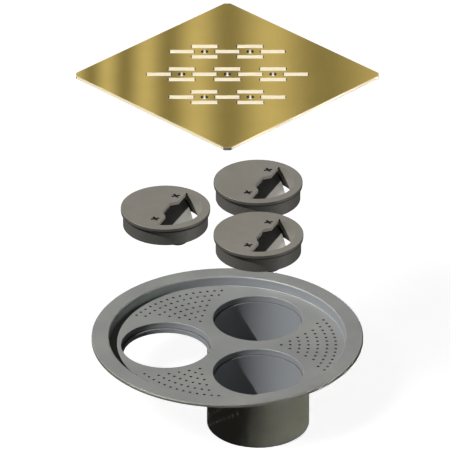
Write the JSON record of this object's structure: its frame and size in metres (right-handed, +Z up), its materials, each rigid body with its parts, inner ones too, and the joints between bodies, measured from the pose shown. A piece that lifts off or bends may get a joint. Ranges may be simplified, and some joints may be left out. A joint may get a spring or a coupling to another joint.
{
  "type": "floor drain grate",
  "caption": "Floor drain with a square slotted brass cover over a round dished pan, fitted with lift-out one-way flap valves above tubular outlets.",
  "frame": {"origin": "on the pan's axis, level with the lower ends of the outlet tubes", "axes": "+Z up, along the pan's axis; X and Y along the square cover's sides; the left valve hole lies towards -X-Y"},
  "size_m": [0.2, 0.2, 0.2695],
  "materials": {
    "pan_metal": "satin, cool grey",
    "cover_brass": "satin brushed gold",
    "stud_metal": "turned",
    "valve_metal": "satin, warm grey",
    "flap_metal": "satin",
    "pin_metal": "polished",
    "weight_brass": "dull",
    "rubber": "matt black"
  },
  "bodies": {
    "drain_pan": {"drain_pan": "pan_metal", "seat_collar_left": "pan_metal", "outlet_tube_front": "pan_metal", "outlet_tube_rear": "pan_metal"},
    "cover": {"cover_plate": "cover_brass", "cover_studs": "stud_metal"},
    "valve_left": {"valve_body_left": "valve_metal", "seat_gasket_left": "rubber", "hinge_lugs_left": "valve_metal", "hinge_pin_left": "pin_metal"},
    "flap_left": {"flap_left": "flap_metal", "flap_seal_left": "rubber", "counterweight_left": "weight_brass", "counterweight_rivets_left": "pin_metal"},
    "valve_front": {"valve_body_front": "valve_metal", "seat_gasket_front": "rubber", "hinge_lugs_front": "valve_metal", "hinge_pin_front": "pin_metal"},
    "flap_front": {"flap_front": "flap_metal", "flap_seal_front": "rubber", "counterweight_front": "weight_brass", "counterweight_rivets_front": "pin_metal"},
    "valve_rear": {"valve_body_rear": "valve_metal", "seat_gasket_rear": "rubber", "hinge_lugs_rear": "valve_metal", "hinge_pin_rear": "pin_metal"},
    "flap_rear": {"flap_rear": "flap_metal", "flap_seal_rear": "rubber", "counterweight_rear": "weight_brass", "counterweight_rivets_rear": "pin_metal"}
  },
  "joints": [
    {"name": "cover_lift", "type": "slide", "parent": "drain_pan", "child": "cover", "axis": [0, 0, 1], "range_m": [-0.216, 0]},
    {"name": "valve_lift_left", "type": "slide", "parent": "drain_pan", "child": "valve_left", "axis": [0, 0, 1], "range_m": [-0.118, 0]},
    {"name": "valve_lift_front", "type": "slide", "parent": "drain_pan", "child": "valve_front", "axis": [0, 0, 1], "range_m": [-0.118, 0]},
    {"name": "valve_lift_rear", "type": "slide", "parent": "drain_pan", "child": "valve_rear", "axis": [0, 0, 1], "range_m": [-0.118, 0]},
    {"name": "flap_hinge_left", "type": "hinge", "parent": "valve_left", "child": "flap_left", "pos_m": [-0.03189, -0.03189, 0.1542], "axis": [-0.3633, 0.9317, 0], "range_deg": [-48, 5]},
    {"name": "flap_hinge_front", "type": "hinge", "parent": "valve_front", "child": "flap_front", "pos_m": [0.04356, -0.01167, 0.1542], "axis": [-0.3633, 0.9317, 0], "range_deg": [-48, 5]},
    {"name": "flap_hinge_rear", "type": "hinge", "parent": "valve_rear", "child": "flap_rear", "pos_m": [-0.01167, 0.04356, 0.1542], "axis": [-0.3633, 0.9317, 0], "range_deg": [-48, 5]}
  ],
  "couplings": [
    {"joint": "valve_lift_left", "follows": "cover_lift", "ratio": 0.54629},
    {"joint": "valve_lift_front", "follows": "cover_lift", "ratio": 0.54629},
    {"joint": "valve_lift_rear", "follows": "cover_lift", "ratio": 0.54629}
  ]
}
